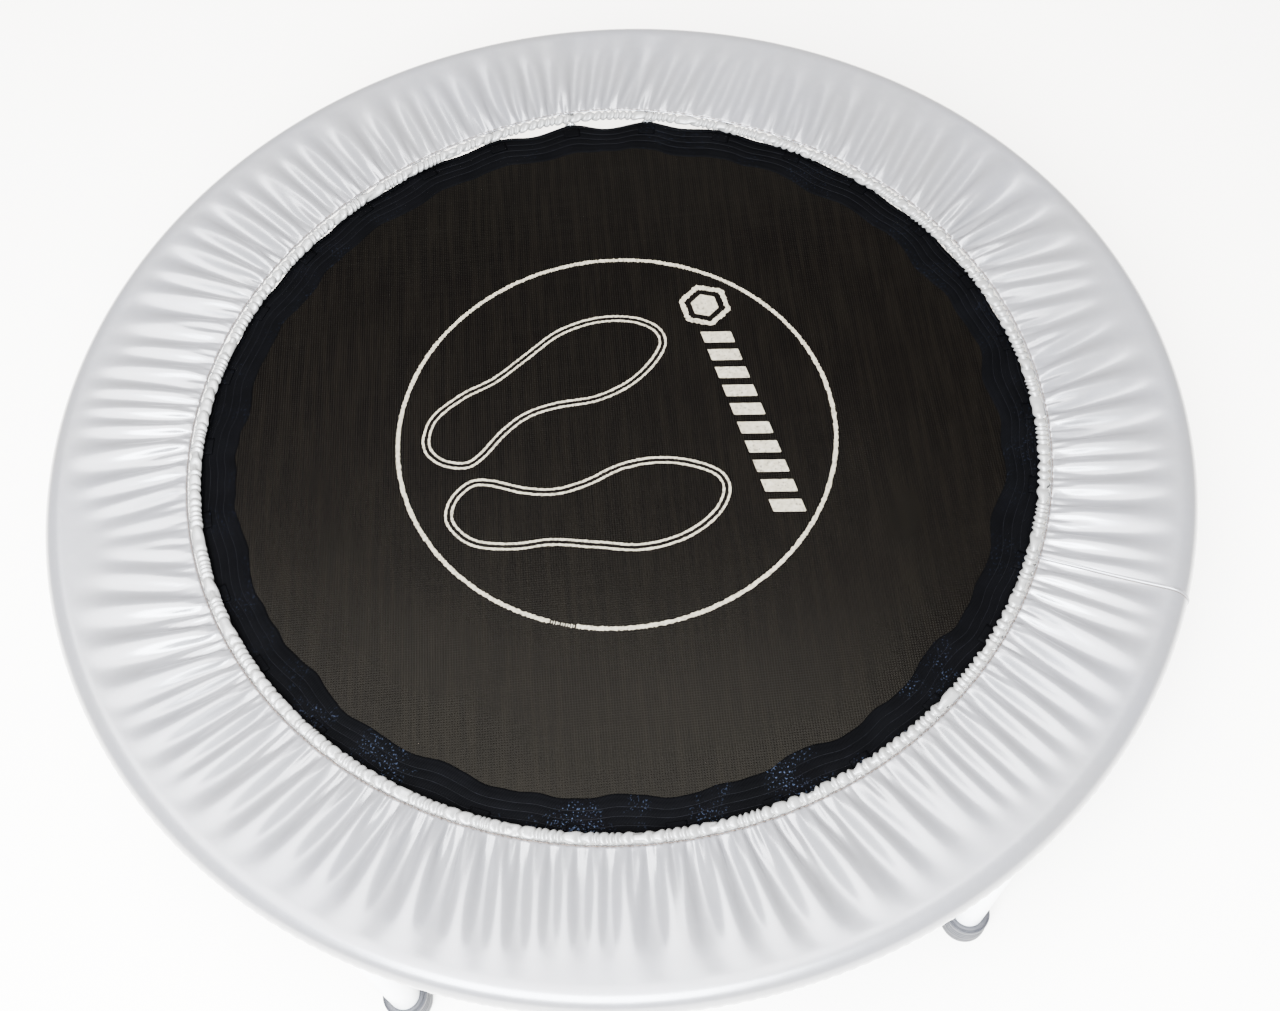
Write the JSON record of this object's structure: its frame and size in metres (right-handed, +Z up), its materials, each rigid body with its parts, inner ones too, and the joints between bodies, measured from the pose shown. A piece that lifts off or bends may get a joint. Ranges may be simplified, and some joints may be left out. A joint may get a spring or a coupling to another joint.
{
  "type": "mini trampoline",
  "caption": "Low round fitness trampoline: steel ring on screw-in legs, woven mat hung on springs under a gathered vinyl cover.",
  "frame": {"origin": "on the floor, under the middle of the mat", "axes": "+Z up; +X towards the toes of the printed footprints, and +Y to the left of someone standing on them"},
  "size_m": [0.9754, 0.97, 0.225],
  "materials": {
    "frame_paint": "satin",
    "leg_paint": "satin",
    "zinc_steel": "satin",
    "foot_rubber": "matte",
    "mat_weave": "matte",
    "hem_webbing": "matte",
    "cover_vinyl": "satin"
  },
  "bodies": {
    "frame": {"frame_ring": "frame_paint", "cover": "cover_vinyl", "cover_elastic": "cover_vinyl", "leg_boss_1": "frame_paint", "leg_boss_2": "frame_paint", "leg_boss_3": "frame_paint", "leg_boss_4": "frame_paint", "leg_boss_5": "frame_paint", "leg_boss_6": "frame_paint"},
    "mat_rim": {"mat_hem": "hem_webbing"},
    "mat_middle": {"mat_bed": "mat_weave"},
    "spring_01": {"spring_01": "zinc_steel"},
    "spring_02": {"spring_02": "zinc_steel"},
    "spring_03": {"spring_03": "zinc_steel"},
    "spring_04": {"spring_04": "zinc_steel"},
    "spring_05": {"spring_05": "zinc_steel"},
    "spring_06": {"spring_06": "zinc_steel"},
    "spring_07": {"spring_07": "zinc_steel"},
    "spring_08": {"spring_08": "zinc_steel"},
    "spring_09": {"spring_09": "zinc_steel"},
    "spring_10": {"spring_10": "zinc_steel"},
    "spring_11": {"spring_11": "zinc_steel"},
    "spring_12": {"spring_12": "zinc_steel"},
    "spring_13": {"spring_13": "zinc_steel"},
    "spring_14": {"spring_14": "zinc_steel"},
    "spring_15": {"spring_15": "zinc_steel"},
    "spring_16": {"spring_16": "zinc_steel"},
    "spring_17": {"spring_17": "zinc_steel"},
    "spring_18": {"spring_18": "zinc_steel"},
    "spring_19": {"spring_19": "zinc_steel"},
    "spring_20": {"spring_20": "zinc_steel"},
    "spring_21": {"spring_21": "zinc_steel"},
    "spring_22": {"spring_22": "zinc_steel"},
    "spring_23": {"spring_23": "zinc_steel"},
    "spring_24": {"spring_24": "zinc_steel"},
    "spring_25": {"spring_25": "zinc_steel"},
    "spring_26": {"spring_26": "zinc_steel"},
    "spring_27": {"spring_27": "zinc_steel"},
    "spring_28": {"spring_28": "zinc_steel"},
    "spring_29": {"spring_29": "zinc_steel"},
    "spring_30": {"spring_30": "zinc_steel"},
    "leg_1": {"leg_tube_1": "leg_paint", "leg_stud_1": "zinc_steel", "leg_foot_1": "foot_rubber"},
    "leg_2": {"leg_tube_2": "leg_paint", "leg_stud_2": "zinc_steel", "leg_foot_2": "foot_rubber"},
    "leg_3": {"leg_tube_3": "leg_paint", "leg_stud_3": "zinc_steel", "leg_foot_3": "foot_rubber"},
    "leg_4": {"leg_tube_4": "leg_paint", "leg_stud_4": "zinc_steel", "leg_foot_4": "foot_rubber"},
    "leg_5": {"leg_tube_5": "leg_paint", "leg_stud_5": "zinc_steel", "leg_foot_5": "foot_rubber"},
    "leg_6": {"leg_tube_6": "leg_paint", "leg_stud_6": "zinc_steel", "leg_foot_6": "foot_rubber"}
  },
  "joints": [
    {"name": "mat_rim_drop", "type": "slide", "parent": "frame", "child": "mat_rim", "axis": [0, 0, -1], "range_m": [0, 0.012], "stiffness_N_per_m": 65000, "springref_m": -0.001},
    {"name": "mat_middle_drop", "type": "slide", "parent": "mat_rim", "child": "mat_middle", "axis": [0, 0, -1], "range_m": [0, 0.048]},
    {"name": "spring_01_swing", "type": "hinge", "parent": "frame", "child": "spring_01", "pos_m": [0.45631, 0.07227, 0.202], "axis": [0.1564, -0.9877, 0], "range_deg": [0, 7.56]},
    {"name": "spring_02_swing", "type": "hinge", "parent": "frame", "child": "spring_02", "pos_m": [0.43131, 0.16557, 0.202], "axis": [0.3584, -0.9336, 0], "range_deg": [0, 7.56]},
    {"name": "spring_03_swing", "type": "hinge", "parent": "frame", "child": "spring_03", "pos_m": [0.38747, 0.25162, 0.202], "axis": [0.5446, -0.8387, 0], "range_deg": [0, 7.56]},
    {"name": "spring_04_swing", "type": "hinge", "parent": "frame", "child": "spring_04", "pos_m": [0.32668, 0.32668, 0.202], "axis": [0.7071, -0.7071, 0], "range_deg": [0, 7.56]},
    {"name": "spring_05_swing", "type": "hinge", "parent": "frame", "child": "spring_05", "pos_m": [0.25162, 0.38747, 0.202], "axis": [0.8387, -0.5446, 0], "range_deg": [0, 7.56]},
    {"name": "spring_06_swing", "type": "hinge", "parent": "frame", "child": "spring_06", "pos_m": [0.16557, 0.43131, 0.202], "axis": [0.9336, -0.3584, 0], "range_deg": [0, 7.56]},
    {"name": "spring_07_swing", "type": "hinge", "parent": "frame", "child": "spring_07", "pos_m": [0.07227, 0.45631, 0.202], "axis": [0.9877, -0.1564, 0], "range_deg": [0, 7.56]},
    {"name": "spring_08_swing", "type": "hinge", "parent": "frame", "child": "spring_08", "pos_m": [-0.02418, 0.46137, 0.202], "axis": [0.9986, 0.0523, 0], "range_deg": [0, 7.56]},
    {"name": "spring_09_swing", "type": "hinge", "parent": "frame", "child": "spring_09", "pos_m": [-0.11957, 0.44626, 0.202], "axis": [0.9659, 0.2588, 0], "range_deg": [0, 7.56]},
    {"name": "spring_10_swing", "type": "hinge", "parent": "frame", "child": "spring_10", "pos_m": [-0.20974, 0.41164, 0.202], "axis": [0.891, 0.454, 0], "range_deg": [0, 7.56]},
    {"name": "spring_11_swing", "type": "hinge", "parent": "frame", "child": "spring_11", "pos_m": [-0.29075, 0.35904, 0.202], "axis": [0.7771, 0.6293, 0], "range_deg": [0, 7.56]},
    {"name": "spring_12_swing", "type": "hinge", "parent": "frame", "child": "spring_12", "pos_m": [-0.35904, 0.29075, 0.202], "axis": [0.6293, 0.7771, 0], "range_deg": [0, 7.56]},
    {"name": "spring_13_swing", "type": "hinge", "parent": "frame", "child": "spring_13", "pos_m": [-0.41164, 0.20974, 0.202], "axis": [0.454, 0.891, 0], "range_deg": [0, 7.56]},
    {"name": "spring_14_swing", "type": "hinge", "parent": "frame", "child": "spring_14", "pos_m": [-0.44626, 0.11957, 0.202], "axis": [0.2588, 0.9659, 0], "range_deg": [0, 7.56]},
    {"name": "spring_15_swing", "type": "hinge", "parent": "frame", "child": "spring_15", "pos_m": [-0.46137, 0.02418, 0.202], "axis": [0.0523, 0.9986, 0], "range_deg": [0, 7.56]},
    {"name": "spring_16_swing", "type": "hinge", "parent": "frame", "child": "spring_16", "pos_m": [-0.45631, -0.07227, 0.202], "axis": [-0.1564, 0.9877, 0], "range_deg": [0, 7.56]},
    {"name": "spring_17_swing", "type": "hinge", "parent": "frame", "child": "spring_17", "pos_m": [-0.43131, -0.16557, 0.202], "axis": [-0.3584, 0.9336, 0], "range_deg": [0, 7.56]},
    {"name": "spring_18_swing", "type": "hinge", "parent": "frame", "child": "spring_18", "pos_m": [-0.38747, -0.25162, 0.202], "axis": [-0.5446, 0.8387, 0], "range_deg": [0, 7.56]},
    {"name": "spring_19_swing", "type": "hinge", "parent": "frame", "child": "spring_19", "pos_m": [-0.32668, -0.32668, 0.202], "axis": [-0.7071, 0.7071, 0], "range_deg": [0, 7.56]},
    {"name": "spring_20_swing", "type": "hinge", "parent": "frame", "child": "spring_20", "pos_m": [-0.25162, -0.38747, 0.202], "axis": [-0.8387, 0.5446, 0], "range_deg": [0, 7.56]},
    {"name": "spring_21_swing", "type": "hinge", "parent": "frame", "child": "spring_21", "pos_m": [-0.16557, -0.43131, 0.202], "axis": [-0.9336, 0.3584, 0], "range_deg": [0, 7.56]},
    {"name": "spring_22_swing", "type": "hinge", "parent": "frame", "child": "spring_22", "pos_m": [-0.07227, -0.45631, 0.202], "axis": [-0.9877, 0.1564, 0], "range_deg": [0, 7.56]},
    {"name": "spring_23_swing", "type": "hinge", "parent": "frame", "child": "spring_23", "pos_m": [0.02418, -0.46137, 0.202], "axis": [-0.9986, -0.0523, 0], "range_deg": [0, 7.56]},
    {"name": "spring_24_swing", "type": "hinge", "parent": "frame", "child": "spring_24", "pos_m": [0.11957, -0.44626, 0.202], "axis": [-0.9659, -0.2588, 0], "range_deg": [0, 7.56]},
    {"name": "spring_25_swing", "type": "hinge", "parent": "frame", "child": "spring_25", "pos_m": [0.20974, -0.41164, 0.202], "axis": [-0.891, -0.454, 0], "range_deg": [0, 7.56]},
    {"name": "spring_26_swing", "type": "hinge", "parent": "frame", "child": "spring_26", "pos_m": [0.29075, -0.35904, 0.202], "axis": [-0.7771, -0.6293, 0], "range_deg": [0, 7.56]},
    {"name": "spring_27_swing", "type": "hinge", "parent": "frame", "child": "spring_27", "pos_m": [0.35904, -0.29075, 0.202], "axis": [-0.6293, -0.7771, 0], "range_deg": [0, 7.56]},
    {"name": "spring_28_swing", "type": "hinge", "parent": "frame", "child": "spring_28", "pos_m": [0.41164, -0.20974, 0.202], "axis": [-0.454, -0.891, 0], "range_deg": [0, 7.56]},
    {"name": "spring_29_swing", "type": "hinge", "parent": "frame", "child": "spring_29", "pos_m": [0.44626, -0.11957, 0.202], "axis": [-0.2588, -0.9659, 0], "range_deg": [0, 7.56]},
    {"name": "spring_30_swing", "type": "hinge", "parent": "frame", "child": "spring_30", "pos_m": [0.46137, -0.02418, 0.202], "axis": [-0.0523, -0.9986, 0], "range_deg": [0, 7.56]},
    {"name": "leg_1_unscrew", "type": "slide", "parent": "frame", "child": "leg_1", "axis": [0, 0, -1], "range_m": [0, 0.03]},
    {"name": "leg_2_unscrew", "type": "slide", "parent": "frame", "child": "leg_2", "axis": [0, 0, -1], "range_m": [0, 0.03]},
    {"name": "leg_3_unscrew", "type": "slide", "parent": "frame", "child": "leg_3", "axis": [0, 0, -1], "range_m": [0, 0.03]},
    {"name": "leg_4_unscrew", "type": "slide", "parent": "frame", "child": "leg_4", "axis": [0, 0, -1], "range_m": [0, 0.03]},
    {"name": "leg_5_unscrew", "type": "slide", "parent": "frame", "child": "leg_5", "axis": [0, 0, -1], "range_m": [0, 0.03]},
    {"name": "leg_6_unscrew", "type": "slide", "parent": "frame", "child": "leg_6", "axis": [0, 0, -1], "range_m": [0, 0.03]}
  ],
  "couplings": [
    {"joint": "mat_middle_drop", "follows": "mat_rim_drop", "ratio": 4},
    {"joint": "spring_01_swing", "follows": "mat_rim_drop", "rad_per_m": 10.989},
    {"joint": "spring_02_swing", "follows": "mat_rim_drop", "rad_per_m": 10.989},
    {"joint": "spring_03_swing", "follows": "mat_rim_drop", "rad_per_m": 10.989},
    {"joint": "spring_04_swing", "follows": "mat_rim_drop", "rad_per_m": 10.989},
    {"joint": "spring_05_swing", "follows": "mat_rim_drop", "rad_per_m": 10.989},
    {"joint": "spring_06_swing", "follows": "mat_rim_drop", "rad_per_m": 10.989},
    {"joint": "spring_07_swing", "follows": "mat_rim_drop", "rad_per_m": 10.989},
    {"joint": "spring_08_swing", "follows": "mat_rim_drop", "rad_per_m": 10.989},
    {"joint": "spring_09_swing", "follows": "mat_rim_drop", "rad_per_m": 10.989},
    {"joint": "spring_10_swing", "follows": "mat_rim_drop", "rad_per_m": 10.989},
    {"joint": "spring_11_swing", "follows": "mat_rim_drop", "rad_per_m": 10.989},
    {"joint": "spring_12_swing", "follows": "mat_rim_drop", "rad_per_m": 10.989},
    {"joint": "spring_13_swing", "follows": "mat_rim_drop", "rad_per_m": 10.989},
    {"joint": "spring_14_swing", "follows": "mat_rim_drop", "rad_per_m": 10.989},
    {"joint": "spring_15_swing", "follows": "mat_rim_drop", "rad_per_m": 10.989},
    {"joint": "spring_16_swing", "follows": "mat_rim_drop", "rad_per_m": 10.989},
    {"joint": "spring_17_swing", "follows": "mat_rim_drop", "rad_per_m": 10.989},
    {"joint": "spring_18_swing", "follows": "mat_rim_drop", "rad_per_m": 10.989},
    {"joint": "spring_19_swing", "follows": "mat_rim_drop", "rad_per_m": 10.989},
    {"joint": "spring_20_swing", "follows": "mat_rim_drop", "rad_per_m": 10.989},
    {"joint": "spring_21_swing", "follows": "mat_rim_drop", "rad_per_m": 10.989},
    {"joint": "spring_22_swing", "follows": "mat_rim_drop", "rad_per_m": 10.989},
    {"joint": "spring_23_swing", "follows": "mat_rim_drop", "rad_per_m": 10.989},
    {"joint": "spring_24_swing", "follows": "mat_rim_drop", "rad_per_m": 10.989},
    {"joint": "spring_25_swing", "follows": "mat_rim_drop", "rad_per_m": 10.989},
    {"joint": "spring_26_swing", "follows": "mat_rim_drop", "rad_per_m": 10.989},
    {"joint": "spring_27_swing", "follows": "mat_rim_drop", "rad_per_m": 10.989},
    {"joint": "spring_28_swing", "follows": "mat_rim_drop", "rad_per_m": 10.989},
    {"joint": "spring_29_swing", "follows": "mat_rim_drop", "rad_per_m": 10.989},
    {"joint": "spring_30_swing", "follows": "mat_rim_drop", "rad_per_m": 10.989}
  ]
}
